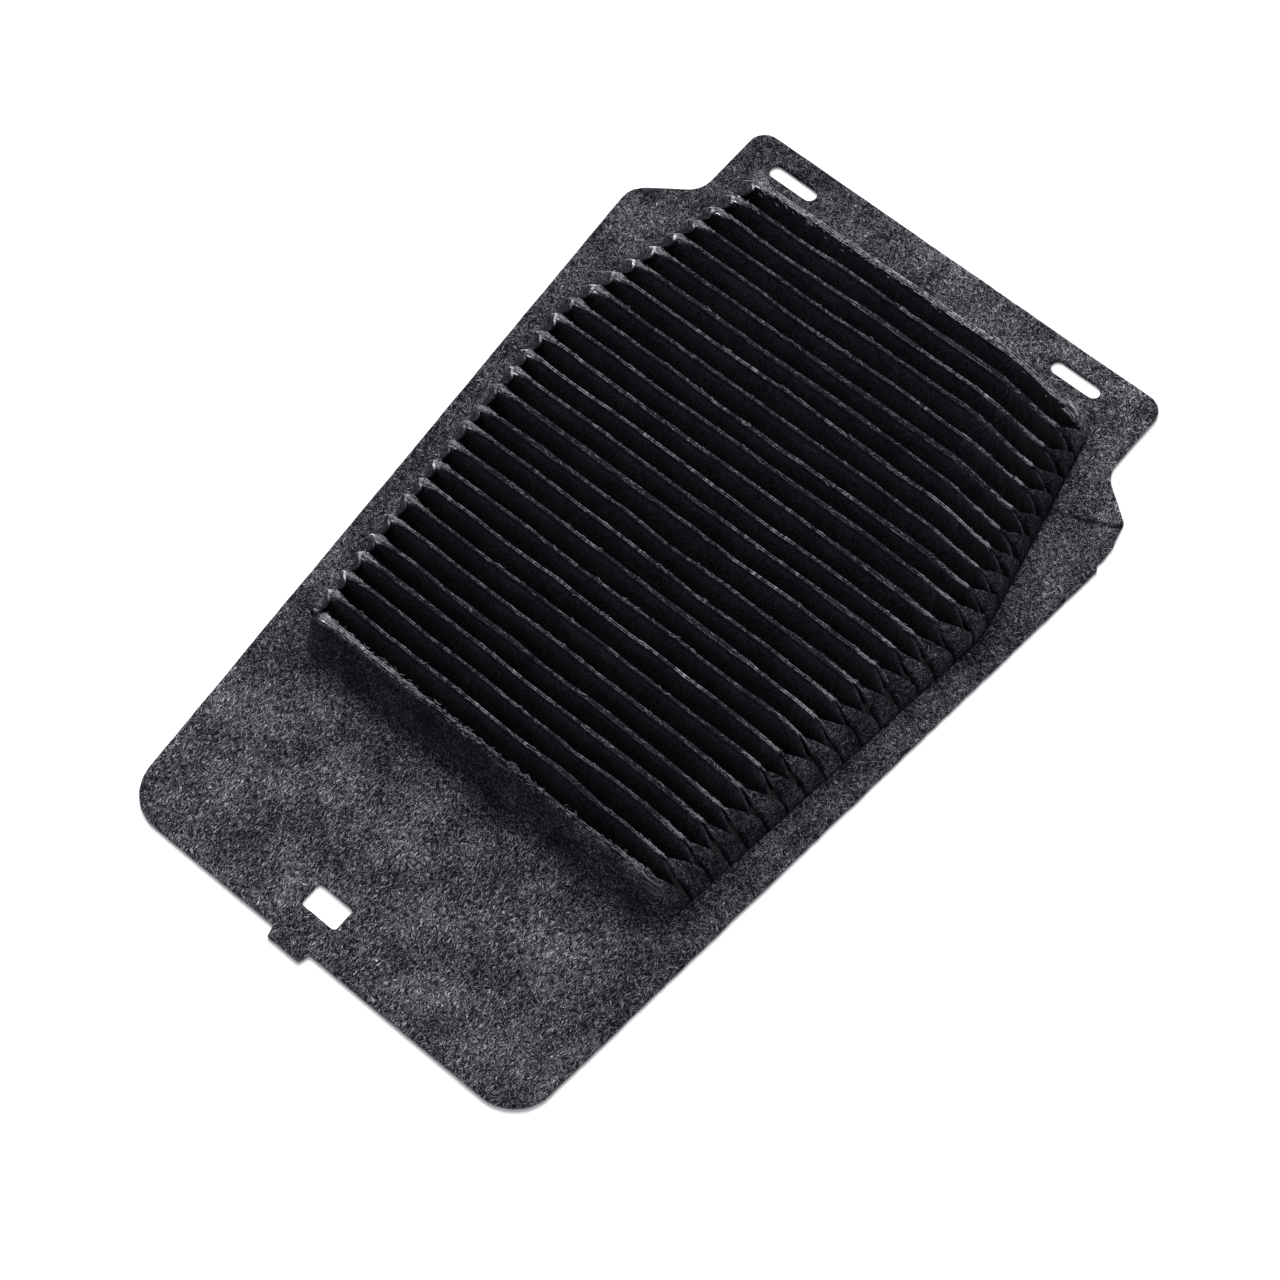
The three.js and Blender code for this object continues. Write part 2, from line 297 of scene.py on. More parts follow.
def make_piece(name, node, slot, material, vertices, faces, fields=None):
    """A mesh object from millimetres, riding on the filter, with one value per vertex in each field."""
    mesh = bpy.data.meshes.new(name)
    mesh.from_pydata((vertices * MM).tolist(), [], faces)
    mesh.validate()
    for field, values in (fields or {}).items():
        values = np.asarray(values, np.float32)
        kind, key = ("FLOAT_VECTOR", "vector") if values.ndim == 2 else ("FLOAT", "value")
        mesh.attributes.new(field, kind, "POINT").data.foreach_set(key, values.ravel())
    mesh.polygons.foreach_set("use_smooth", [True] * len(mesh.polygons))
    mesh.materials.append(material)
    piece = add_object(name, mesh)
    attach(piece, "root")
    if node:
        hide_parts(node)
    return piece


def open_sides(faces):
    """The sides that only one face has, in order."""
    sides = {(a, b) for face in faces for a, b in zip(face, (*face[1:], face[0]))}
    return sorted((a, b) for a, b in sides if (b, a) not in sides)


def closed_sheet(top, bottom, faces, bulge=0.1):
    """Joins two layers of the same faces into one closed body whose cut edge bulges a little.
    Gives the vertices, the faces, and for each vertex the one of the layers' it came from."""
    count = len(top)
    rim = open_sides(faces)
    outward = np.zeros((count, 3))
    for a, b in rim:
        side = unit(np.cross(top[b] - top[a], top[a] - bottom[a]))
        outward[a] += side
        outward[b] += side
    edge = sorted({v for pair in rim for v in pair})
    middle = {v: 2 * count + k for k, v in enumerate(edge)}
    centre = (top[edge] + bottom[edge]) / 2 + unit(outward[edge]) * bulge
    closed = [tuple(face) for face in faces]
    closed += [tuple(v + count for v in reversed(face)) for face in faces]
    for a, b in rim:
        closed += [(b, a, middle[a], middle[b]), (middle[b], middle[a], a + count, b + count)]
    source = np.concatenate([np.arange(count), np.arange(count), edge]).astype(int)
    return np.concatenate([top, bottom, centre]), closed, source


def grid_faces(rows, columns, start=0):
    """Quads of a grid whose rows run first, counter-clockwise where columns x rows faces out."""
    ids = np.arange(rows * columns).reshape(rows, columns) + start
    corners = (ids[:-1, :-1], ids[:-1, 1:], ids[1:, 1:], ids[1:, :-1])
    return stacked(*(corner.ravel() for corner in corners)).tolist()


# ---- Materials ----
class Graph:
    """One material's node tree, with short calls that add a node and link its inputs."""

    def __init__(self, name):
        self.material = bpy.data.materials.new(name)
        self.material.use_nodes = True
        self.tree = self.material.node_tree
        self.shader = self.tree.nodes["Principled BSDF"]

    def add(self, kind, inputs=(), **settings):
        node = self.tree.nodes.new("ShaderNode" + kind)
        for key, value in settings.items():
            setattr(node, key, value)
        for key, value in dict(inputs).items():
            self.set(node.inputs[key], value)
        return node

    def set(self, socket, value):
        if isinstance(value, bpy.types.NodeSocket):
            self.tree.links.new(value, socket)
        else:
            socket.default_value = value

    def math(self, operation, a, b=0.0, c=0.0):
        return self.add("Math", {0: a, 1: b, 2: c}, operation=operation).outputs[0]

    def vector(self, operation, a, b):
        """Vector maths on a and b, or a times the number b for SCALE."""
        second = "Scale" if operation == "SCALE" else 1
        return self.add("VectorMath", {0: a, second: b}, operation=operation).outputs[0]

    def ramp(self, value, low, high):
        """From 0 at low to 1 at high."""
        node = self.add("MapRange", {0: value, 1: low, 2: high}, interpolation_type="SMOOTHSTEP")
        return node.outputs[0]

    def field(self, name, output="Fac"):
        return self.add("Attribute", attribute_name=name).outputs[output]

    def noise(self, place, scale, detail=2.0, roughness=0.5, output=0):
        inputs = {"Vector": place, "Scale": scale, "Detail": detail, "Roughness": roughness}
        return self.add("TexNoise", inputs).outputs[output]

    def blend(self, share, a, b):
        node = self.add("Mix", data_type="RGBA")
        for index, value in ((0, share), (6, a), (7, b)):
            self.set(node.inputs[index], value)
        return node.outputs[2]

    def finish(self, colour, height, bump, roughness, specular=0.1):
        surface = self.add("Bump", {"Height": height, "Strength": 1.0, "Distance": bump * MM})
        values = {"Base Color": colour, "Normal": surface.outputs[0], "Roughness": roughness}
        for socket, value in (*values.items(), ("Specular IOR Level", specular)):
            self.set(self.shader.inputs[socket], value)
        return self.material


FIBRE_LAYERS = ((1.5, 0.0), (0.5, 11.0), (2.6, 23.0))
FIBRE_STRETCH = (0.62, 3.0, 1.5)
FIBRE_CURL = 1.1

# Half a pale fuzz line's width is noise times the first number, plus the second.
LINE_ROUGHNESS = 0.42
LINE_OFFSET = -0.1
HALO = 0.22

# How strong each pattern is beside the streaks, then a violet tint and the overall depth.
GRAIN = 0.4
CLOUDY = 0.3
CURLY = 0.085
TINT = (0.013, 0.0, 0.029)
DEPTH = 0.887


def fibre_streaks(graph, place, combed):
    """Short curly streaks, as fine loose fibres lie in felt, around 0.6. Place is in millimetres.
    Combed raises the streaks that run along Y."""
    bend = graph.vector("SUBTRACT", graph.noise(place, 0.42, 1.0, output="Color"), (0.5, 0.5, 0.5))
    curled = graph.vector("ADD", place, graph.vector("SCALE", bend, 2 * FIBRE_CURL))
    layers = []
    for angle, shift in FIBRE_LAYERS:
        inputs = {"Vector": curled, "Location": (shift, shift, shift), "Rotation": (0, 0, angle)}
        turned = graph.add("Mapping", inputs).outputs[0]
        layers.append(graph.noise(graph.vector("MULTIPLY", turned, FIBRE_STRETCH), 1.0, 1.0))
    streaks = graph.math("ADD", layers[0], combed)
    for layer in layers[1:]:
        streaks = graph.math("MAXIMUM", streaks, layer)
    return streaks


def in_millimetres(graph, vector):
    return graph.vector("SCALE", vector, 1 / MM)


def fuzz_highlights_and_shade(graph, place, tone, streaks):
    """Pale broken lines where fuzz stands up along folds and cut edges, partly the fuzz's paler colour
    and partly painted highlight, then painted shade from the field shade. The fields fold and rim hold a
    distance from the line, half its spacing where it is double, and its strength."""
    rough = graph.noise(place, 1.1, 3.0)
    width = graph.math("MULTIPLY_ADD", rough, LINE_ROUGHNESS, LINE_OFFSET)
    dashes = graph.ramp(graph.noise(place, 0.5, 3.0, 0.7), 0.36, 0.62)
    for name in ("fold", "rim"):
        parts = graph.add("SeparateXYZ", {0: graph.field(name, "Vector")}).outputs
        away = graph.math("ABSOLUTE", graph.math("SUBTRACT", graph.math("ABSOLUTE", parts[0]), parts[1]))
        # Painted highlight: the pale line and its halo, where the fuzz catches the light.
        line = graph.ramp(graph.math("DIVIDE", away, width), 1.0, 0.35)
        level = graph.math("MULTIPLY", parts[2], graph.math("MULTIPLY_ADD", dashes, 0.65, 0.35))
        tone = graph.math("MAXIMUM", tone, graph.math("MULTIPLY", line, level))
        halo = graph.math("MULTIPLY", graph.ramp(away, 0.8, 0.1), graph.ramp(streaks, 0.52, 0.72))
        halo = graph.math("MULTIPLY", halo, graph.math("MULTIPLY", level, HALO))
        tone = graph.math("ADD", tone, halo)
    # Painted shade: the field shade darkens the tone.
    return graph.math("MULTIPLY", tone, graph.math("SUBTRACT", 1.0, graph.field("shade")))


def fibrous(name, tone, contrast, combed=False):
    """A fibrous sheet. Its tone is the middle grey as it looks, 0 to 1, and contrast that of streaks.
    Combed makes the streaks in front of the pack run along Y."""
    graph = Graph(name)
    place = in_millimetres(graph, graph.field("sheet", "Vector"))
    comb = 0.0
    if combed:
        y = graph.add("SeparateXYZ", {0: place}).outputs[1]
        comb = graph.math("MULTIPLY", graph.ramp(y, FRONT.foot + 5, FRONT.foot - 20), 0.08)
    streaks = fibre_streaks(graph, place, comb)
    fine = graph.noise(place, 3.2, 1.0)
    cloud = graph.noise(place, 0.07, 4.0, 0.6)
    fibre = graph.math("ABSOLUTE", graph.math("SUBTRACT", graph.noise(place, 0.95, 1.5), 0.5))
    curls = graph.math("MULTIPLY", graph.ramp(fibre, 0.03, 0.0), graph.ramp(fine, 0.4, 0.6))
    level = graph.math("MULTIPLY_ADD", comb, -0.25 * contrast, tone)
    patterns = ((streaks, 0.6, 1.0), (fine, 0.5, GRAIN), (cloud, 0.5, CLOUDY), (curls, 0.0, CURLY))
    for pattern, middle, share in patterns:
        pattern = graph.math("SUBTRACT", pattern, middle)
        level = graph.math("MULTIPLY_ADD", pattern, contrast * share, level)
    level = graph.math("MAXIMUM", level, tone * 0.35)
    level = fuzz_highlights_and_shade(graph, place, level, streaks)
    deep = graph.vector("SCALE", graph.vector("ADD", TINT, level), DEPTH)
    colour = graph.add("Gamma", {"Color": deep, "Gamma": 2.2}).outputs[0]
    height = graph.math("MULTIPLY_ADD", fine, 0.4, streaks)
    return graph.finish(colour, height, 0.5, 0.95)


def glue_material():
    """Hot-melt adhesive: black and waxy, with shallow ripples and dust."""
    graph = Graph("hot_melt")
    place = in_millimetres(graph, graph.add("TexCoord").outputs["Object"])
    ripple = graph.noise(place, 0.7)
    dust = graph.ramp(graph.noise(place, 2.4, 3.0), 0.55, 0.75)
    colour = graph.blend(dust, (0.004, 0.004, 0.005, 1), (0.012, 0.0115, 0.013, 1))
    roughness = graph.math("MULTIPLY_ADD", dust, 0.3, 0.5)
    return graph.finish(colour, ripple, 0.15, roughness, 0.15)


def fuzz_material():
    """Loose pale fibres. Each one's shade is its own."""
    graph = Graph("loose_fibre")
    colour = graph.blend(graph.field("pale"), (0.04, 0.038, 0.045, 1), (0.3, 0.285, 0.32, 1))
    place = in_millimetres(graph, graph.add("TexCoord").outputs["Object"])
    return graph.finish(colour, graph.noise(place, 3.0, 1.0), 0.02, 0.7, 0.2)


FLANGE_FELT = fibrous("flange_felt", 0.208, 2.0, combed=True)
# The webs' felt is the flange's felt in a darker tone, as painted shade on the pack's sides.
SHADED_BAND_FELT = fibrous("band_felt", 0.175, 1.6)
MEDIA_MATERIAL = fibrous("filter_media", 0.22, 0.65)
GLUE = glue_material()
FUZZ = fuzz_material()


# ---- The flange ----
SHEET_STEP = 2.0
CORNER_COLUMNS = 8
ROOT_ROWS = 8
WALL_ROWS = 10
WALL_BELOW_RIDGE = {-1: 0.3, 1: 0.1}


def wall_columns(end):
    """The foot of the felt wall at one end of the pack, from the left corner round to the right.
    Gives foot points, outward directions, and how far each has turned towards the side, 0 to 1."""
    flat = spaced([(-end.corner_x, 0), (end.corner_x, 0)], 1.25, closed=False)[:, 0]
    turn = math.pi / 2 - end.tilt
    arc = np.linspace(0, turn, CORNER_COLUMNS + 1)[1:]
    angle = np.concatenate([-arc[::-1], 0 * flat, arc])
    x = np.pad(flat, CORNER_COLUMNS, "edge")
    outward = stacked(np.sin(angle), end.out * np.cos(angle))
    foot = stacked(x, end.corner_y) + CORNER_RADIUS * outward
    return foot, outward, smooth(np.abs(angle) / turn)


def felt_wall(end):
    """The felt that turns up out of the flange and rises against the outermost pleat, as a grid of
    points. Gives its two layers, its places on the flat sheet, their heights, and how far they are
    from its top edge."""
    foot, outward, turned = (v[:, None] for v in wall_columns(end))
    foot_x, foot_y = foot[..., 0], foot[..., 1]
    fillet = mix(end.fillet, 1.3, smooth(np.abs(foot_x), end.corner_x - 18, end.corner_x))
    low = FELT / 2
    bend_top = low + fillet
    angle = np.linspace(0, math.pi / 2, ROOT_ROWS)[None, :]
    root_z = bend_top - fillet * np.cos(angle)
    root_out = fillet * (1 - np.sin(angle))
    ridge = 0 if end.out < 0 else PLEATS - 1
    top = ridge_z(ridge, foot_x) - WALL_BELOW_RIDGE[end.out] + 0.2 * noise(foot_x, 3.0, size=6)
    wall_z = mix(bend_top, top, np.linspace(0, 1, WALL_ROWS + 1)[None, 1:])
    z = np.concatenate([root_z, wall_z], 1)
    bend_out = np.concatenate([root_out, 0 * wall_z], 1)

    # Its top lies against the outermost ridge, and its corners follow the rounded sides.
    ridge_out = end.out * (ridge_y(ridge, foot_x) - end.foot)
    top_out = ridge_out + crest_half(ridge, foot_x) + MEDIA / 2 + 0.5
    against = mix(CLEARANCE + low, top_out, z / top)
    undrooped = np.minimum(z * PACK_TOP / top, PACK_TOP - 0.3)
    lean = side_inset(foot_y, undrooped, foot_x)
    around = 0.15 - low - lean
    drag = 0.3 * (1 + noise(foot_x, 2.0 * z, size=2.6)) * smooth(z, 3, 8) * (1 - smooth(z, 12, 16))
    out = mix(against + drag, around, turned) + bend_out

    # Where a side leans in by more than the corner's radius, the corner moves in as a whole.
    crowded = np.maximum(lean - CORNER_RADIUS + 1.5, 0)
    crowded = crowded * np.clip((np.abs(foot_x) - end.corner_x + 24) / 24, 0, 1)
    out = out + crowded * turned
    tangent = stacked(np.gradient(out, axis=1), np.gradient(z, axis=1))
    tangent[:, 0] = (-1, 0)
    tangent = unit(tangent)
    thick = np.full(z.shape, low)
    thick[:, -1] = 0.3
    layers = []
    for sign in (1, -1):
        layer_out = out + sign * thick * tangent[..., 1]
        layer_z = z - sign * thick * tangent[..., 0]
        x, y = np.moveaxis(foot + outward * layer_out[..., None], -1, 0)
        layers.append(stacked(x - np.sign(foot_x) * crowded, y, layer_z))
    run = run_along(stacked(out, z).swapaxes(0, 1)).T
    root_x, root_y = (foot[:, 0] + outward[:, 0] * out[:, :1]).T[..., None]
    flat = stacked(root_x - outward[:, 0, :1] * run * 0.6, root_y - end.out * run, 0)
    return *layers, flat, z, np.where(z > low, run[:, -1:] - run, 0)


def side_edge(side):
    """The window's edge beside one of the pack's long sides, from front to rear."""
    y = np.linspace(FRONT.side_y + 0.6, REAR.side_y - 0.6, 150)
    x = side * (pack_half(y) + WINDOW_GAPS[side] + 0.02 * noise(y, side * 40.0, size=5))
    return stacked(x, y)


def flange_outline():
    """The outline. Its right shoulder is a little trimmed and frayed, as the photo shows."""
    along = NARROW_EDGE
    tab = [(-14.4, 0, 0), (-13.6, -TAB_REACH, 0.5), (-2.6, -TAB_REACH, 0.6), (-1.8, 0, 0)]
    right = [
        (NARROW_HALF, along, 13),
        (87.2, along + 217.0, 0.4),
        (86.1, along + 218.4, 0.4),
        (86.5, along + 220.8, 0.8),
        (86.2, along + 225.5, 3.0),
        (84.3, along + 233.5, 0.7),
        (TONGUE_HALF, NECK_Y, 8),
        (TONGUE_HALF, FAR_EDGE, 5.5),
    ]
    left = [
        (-TONGUE_HALF, FAR_EDGE, 5.5),
        (-TONGUE_HALF, NECK_Y, 8),
        (-SHOULDER_HALF, SHOULDER_Y, 8),
        (-NARROW_HALF, along, 13),
    ]
    outline = rounded(left + [(x, y + along, r) for x, y, r in tab] + right)
    outward = to_the_right(np.roll(outline, -1, 0) - np.roll(outline, 1, 0))
    x, y = outline.T
    frayed = 0.4 + 0.6 * smooth(x, 60, 80)
    ragged = 0.12 * frayed * noise(x, y, size=2.1) + 0.14 * frayed * noise(x, y, 5.0, size=9)
    return outline + outward * (ragged - 0.12)[:, None]


SQUARE = ((-1, -1), (1, -1), (1, 1), (-1, 1))

# Each opening's width, length and corner radius.
SLOT_SIZE = (16.4, 4.6, 2.29)
HOLE_SIZES = {"tab_hole": (12.0, 7.4, 1.0), "slot_left": SLOT_SIZE, "slot_right": SLOT_SIZE}


def opening_outline(name):
    """The cut edge of one of the CAD's openings, centred on its stated box."""
    x, y, _ = OPENINGS[name].mean(0)
    width, length, radius = HOLE_SIZES[name]
    outline = rounded([(x + a * width / 2, y + b * length / 2, radius) for a, b in SQUARE], 0.8)
    return outline + 0.05 * noise(outline[:, :1], outline[:, 1:], size=1.5)


def crossings(points, loops, clearance=0.0):
    """Whether each point lies inside the outline and in no hole, and clear of all their edges."""
    odd = np.zeros(len(points), bool)
    clear = np.ones(len(points), bool)
    x, y = points.T
    for loop in loops:
        for (ax, ay), (bx, by) in zip(loop, np.roll(loop, -1, 0)):
            if ay != by:
                crossed = (ay > y) != (by > y)
                odd ^= crossed & (x < ax + (y - ay) * (bx - ax) / (by - ay))
            if clearance:
                clear &= np.hypot(x - ax, y - ay) > clearance
    return odd & clear


# Creases and wrinkles pressed into the felt: points of a line, height, and half width.
CREASES = [
    ([(-86.0, NARROW_EDGE + 231), (-79.6, NARROW_EDGE + 231.4)], -0.3, 0.7),
    ([(66.6, NARROW_EDGE + 224.2), (76, NARROW_EDGE + 227.4), (84.6, NARROW_EDGE + 231.8)], -0.45, 0.8),
    ([(36, 118.6), (46, 119.4), (54, 117.6), (60, 111.5), (63, 104)], 0.42, 0.8),
    ([(40, 121.2), (50, 122.3), (58, 119.2), (63, 112), (66, 105)], 0.3, 0.8),
    ([(52, 124.2), (59, 122.2), (64.5, 116), (67.6, 109)], 0.2, 0.7),
]


def crease_height(x, y):
    """How far the creases raise or lower the felt's face at each point."""
    points, total = stacked(x, y), 0
    for line, height, width in CREASES:
        line = np.array(line, float)
        near = np.min([from_segment(points, a, b) for a, b in zip(line, line[1:])], 0)
        total = total + height * np.exp(-((near / width) ** 2))
    return total


# How pale the outline, the window and the three holes are at their cut edges, as a painted highlight on
# the fuzz there.
EDGE_GLOW = (0.5, 0.42, 0.12, 0.2, 0.2)


def edge_distance(points, loops):
    """How far each point is from the nearest cut edge, and how strong the painted highlight on that
    edge's fuzz is.
    """
    nearest, glow = np.full(len(points), 1e9), np.zeros(len(points))
    for loop, level in zip(loops, EDGE_GLOW):
        for a, b in zip(loop, np.roll(loop, -1, 0)):
            away = from_segment(points, a, b)
            glow = np.where(away < nearest, level, glow)
            nearest = np.minimum(nearest, away)
    return nearest, glow


def felt_lift(x, y):
    """The felt doesn't lie quite flat: it waves by a few tenths, most at its free corners."""
    wave = 0.13 * (1 + noise(x, y, 1.0, size=38)) + 0.04 * (1 + noise(x, y, 3.0, size=9))
    corner = smooth(np.hypot(x, y - NARROW_EDGE - 130), 120, 160)
    return wave * (0.6 + 0.9 * corner)


def welded(faces, fields):
    """The faces and their points' fields, with points at one place joined and unused ones dropped.
    The first of the fields is the points' places."""
    _, first, same = np.unique(np.round(fields[0], 3), axis=0, return_index=True, return_inverse=True)
    same = same.ravel()
    faces = [tuple(int(same[v]) for v in face) for face in faces]
    faces = [face for face in faces if len(set(face)) == len(face)]
    used = np.unique([v for face in faces for v in face])
    renumber = {int(v): k for k, v in enumerate(used)}
    faces = [tuple(renumber[v] for v in face) for face in faces]
    return faces, [field[first][used] for field in fields]


def flange_edges(front_wall, rear_wall):
    """The flange's cut edges: its outline, the pack's window between the two walls, and the holes."""
    front, rear = (wall[0][:, 0, :2] for wall in (front_wall, rear_wall))
    window = np.concatenate([front, side_edge(1), rear[::-1], side_edge(-1)[::-1]])
    return [flange_outline(), window, *map(opening_outline, HOLE_SIZES)]


def plate_layout(loops):
    """The plate's points and faces, seen from above. The points lie on each edge and in a band beside
    it, along the creases, and elsewhere in a jittered hexagonal grid."""
    points, edges, start = list(np.concatenate(loops)), [], 0
    for loop in loops:
        count = len(loop)
        edges += [(start + k, start + (k + 1) % count) for k in range(count)]
        start += count
        outward = to_the_right(np.roll(loop, -1, 0) - np.roll(loop, 1, 0))
        for sign in (-1, 1):
            band = loop + sign * 0.55 * outward
            points += list(band[crossings(band, loops, 0.45)])
    rows = np.arange(FLANGE_LOW[1], FAR_EDGE, SHEET_STEP * 0.87)
    columns = np.arange(-90, 90, SHEET_STEP)
    grid = np.array([(x + SHEET_STEP / 2 * (k % 2), y) for k, y in enumerate(rows) for x in columns])
    grid += 0.3 * np.random.default_rng(SEED).uniform(-1, 1, grid.shape)
    near_crease = np.abs(crease_height(*grid.T)) > 0.01
    points += list(grid[crossings(grid, loops, 1.2) & ~near_crease])
    fine = []
    for line, _, width in CREASES:
        middle = spaced(line, 0.8, closed=False)
        across = to_the_right(np.gradient(middle, axis=0))
        fine += [middle + across * width * k * 0.55 for k in range(-3, 4)]
    fine = np.concatenate(fine)
    points += list(fine[crossings(fine, loops, 0.7)])

    flat, _, faces, *_ = delaunay_2d_cdt([Vector(p) for p in points], edges, [], 1, 1e-6)
    flat = np.array([tuple(v) for v in flat])
    centres = np.array([flat[list(face)].mean(0) for face in faces])
    return flat, [tuple(face) for face, keep in zip(faces, crossings(centres, loops)) if keep]


def make_flange():
    """The flat plate and the two walls that turn up out of it, as one sheet of felt."""
    walls = [felt_wall(end) for end in (FRONT, REAR)]
    loops = flange_edges(*walls)
    flat, faces = plate_layout(loops)
    layers = (stacked(*flat.T, height) for height in (FELT, 0, 0))
    parts = [(*layers, np.zeros(len(flat)), np.zeros(len(flat)))]
    start = len(flat)
    for out, (top, bottom, sheet, z, left) in zip((-1, 1), walls):
        wall = grid_faces(*z.shape, start)
        faces += [face[::-1] for face in wall] if out < 0 else wall
        layers = (layer.reshape(-1, 3) for layer in (top, bottom, sheet))
        parts.append((*layers, z.ravel(), left.ravel()))
        start += z.size

    # The walls' lowest row is the plate's own edge, so the two are welded into one sheet.
    faces, fields = welded(faces, [np.concatenate(values) for values in zip(*parts)])
    top, bottom, sheet, z, left = fields
    plate = z < 0.01
    rim_of_plate = np.isin(np.arange(len(top)), open_sides(faces)) & plate
    top[rim_of_plate, 2] -= 0.3
    bottom[rim_of_plate, 2] += 0.05
    x, y, _ = top.T
    lift = felt_lift(x, y)
    crease = crease_height(x, y) * plate
    top[:, 2] += lift + crease
    top[:, 2] += 0.05 * noise(x, y, size=3.1)
    bottom[:, 2] += lift

    # How pale the painted highlight on the fuzz is along the raised creases, the cut edges and the
    # walls' top edges.
    away, glow = edge_distance(top[:, :2], loops)
    front = y < 0
    wall_glow = mix(0.8 - 0.45 * smooth(x, 15, 50), 0.5 - 0.4 * smooth(x, -50, 10), front)
    wall_glow = wall_glow + 0.15 * noise(x, 4.0, size=9)
    rim = stacked(np.where(plate, away, left), 0, np.where(plate, glow, wall_glow))
    fold = stacked(0, 0, 0.7 * np.clip(crease, 0, 1))

    # Painted shade in the creases, on the cut edges and on the front wall, which is turned from the
    # light. Also darker right of the pack.
    # Behind the pack it is darker on the left and paler on the right.
    # Painted shade on the front wall.
    front_wall = front * smooth(z, 0.5, 3) * (0.27 + 0.16 * smooth(z, 6, 14))
    front_wall = front_wall * (1 - 0.6 * smooth(x, 0, 45))
    vertices, closed, source = closed_sheet(top, bottom, faces)
    x, y, _ = vertices.T
    shade = np.clip(-crease_height(x, y), 0, 1) * plate[source]
    shade = shade * (1.3 + 0.9 * noise(x, y, size=1.6))
    cut_edge = np.s_[2 * len(top) :]
    shade[cut_edge] = np.maximum(shade[cut_edge], 0.55)
    shade = np.maximum(shade, front_wall[source])
    shade += 0.08 * smooth(x, 55, 70) * (1 - smooth(y, 85, 105))
    shade += (0.1 - 0.24 * smooth(x, -60, 10)) * smooth(y, 85, 125)
    fields = {"sheet": sheet[source] * MM, "fold": fold[source], "rim": rim[source]}
    fields["shade"] = np.minimum(shade, 0.95)
    names = "felt_flange", "flange_sheet", "flange_felt"
    return make_piece(*names, FLANGE_FELT, vertices, closed, fields)


def make_strip(name, node, slot, material, layers, faces, bulge, fields):
    """A closed sheet between two grids of points. Each field has one value per point of the grid, and
    the inner layer shows no pale fold lines."""
    outer, inner = (layer.reshape(-1, 3) for layer in layers)
    vertices, closed, source = closed_sheet(outer, inner, faces, bulge)
    fields = {key: v.reshape(len(outer), *v.shape[2:])[source] for key, v in fields.items()}
    fields["fold"][len(outer) : 2 * len(outer), 2] = 0
    return make_piece(name, node, slot, material, vertices, closed, fields)


# ---- The pleated media ----
LEG_SHARES = (0.1, 0.28, 0.5, 0.72, 0.9)
STATIONS = 92
VALLEY_FLOOR = CLEARANCE + MEDIA / 2 + 0.05
END_FOOT = 0.75


def constant(value):
    """A function of x with the same value all along."""
    return lambda x: np.full_like(x, value)


def beside_ridge(i, way, gap=0.0):
    """Where the sheet runs before ridge i's fold, with way -1, or after it, with way 1."""
    return lambda x: ridge_y(i, x) + way * (crest_half(i, x) + gap)


def below_ridge(i, drop=0.0):
    return lambda x: ridge_z(i, x) - drop


def valley(i, shift=0.0):
    """Where the valley after ridge i runs."""
    return lambda x: (ridge_y(i, x) + ridge_y(i + 1, x)) / 2 + 0.2 * noise(x, i * 13.0, size=20) + shift


def fold_line(i):
    """The pale line along ridge i, partly paler fuzz and partly painted highlight, as a function of x
    that gives half its spacing and its strength.
    """
    left, right = ridge_end(i, -1), ridge_end(i, 1)
    strength = 1.03 + 0.34 * noise(i * 5.3, 7.0) + 0.35 * (i == PLEATS - 1)

    def line(x):
        broken = 0.85 + 0.3 * noise(x, i * 19.0, 1.0, size=9)
        # Painted highlight: brighter towards the left end, a broad band on the first ridge, flecks near
        # the right end.
        tip = 0.2 * smooth(-x, left - 9, 75)
        first = 0.9 * (i == 0) * smooth(-x, 0, 58) * (1 + 0.4 * noise(x, 11.0, size=3.5))
        fleck = 0.7 * np.maximum(noise(i * 4.1, 2.0) + 0.35, 0) * smooth(x, right - 16, right - 4)
        return crest_half(i, x) + 0.1, np.clip((strength + tip + first + fleck) * broken, 0, 2)

    return line


def media_rows():
    """The middle line of the folded strip, row by row from its front foot to its rear one. Gives the
    rows' points, their pale lines, and the number of each ridge's middle row."""
    share = np.linspace(-1, 1, STATIONS)
    share = 1.15 * share - 0.15 * share**3
    rows, lines, centres = [], [], []

    def add_row(y, z, line=None):
        """Adds a row at place y, z, each a function of x. Only the rows of a fold have a line."""
        y_middle, z_middle = y(np.zeros(1))[0], z(np.zeros(1))[0]
        x = share * media_half(y_middle, min(z_middle, PACK_TOP - 0.05), share)
        rows.append(stacked(x, y(x), z(x)))
        lines.append(np.stack(line(x), -1) if line else np.full((STATIONS, 2), np.nan))

    def add_leg(start, end, i):
        """Adds the rows of a pleat's wall between two places. It is bowed a bit."""
        for s in LEG_SHARES:
            bow = 0.22 * math.sin(math.pi * s)
            add_row(
                lambda x: mix(start[0](x), end[0](x), s) + bow * noise(x, i * 17.0 + s, size=14),
                lambda x: mix(start[1](x), end[1](x), s),
            )

    before = constant(FRONT.foot + 0.55), constant(END_FOOT)
    add_row(*before)
    for i in range(PLEATS):
        line = fold_line(i)
        near, far = ((beside_ridge(i, way, 0.13), below_ridge(i, 0.55)) for way in (-1, 1))
        add_leg(before, near, i)
        add_row(*near, line)
        add_row(beside_ridge(i, -1), below_ridge(i), line)
        centres.append(len(rows))
        add_row(lambda x: ridge_y(i, x), below_ridge(i, 0.1), line)
        add_row(beside_ridge(i, 1), below_ridge(i), line)
        add_row(*far, line)
        if i == PLEATS - 1:
            foot = constant(REAR.foot - 0.45), constant(END_FOOT)
            add_leg(far, foot, i + 0.5)
            add_row(*foot)
        else:
            low = constant(VALLEY_FLOOR + 0.45)
            entry, before = (valley(i, -0.5), low), (valley(i, 0.5), low)
            add_leg(far, entry, i + 0.5)
            add_row(*entry)
            add_row(valley(i), constant(VALLEY_FLOOR))
            add_row(*before)
    return np.array(rows), np.array(lines), centres


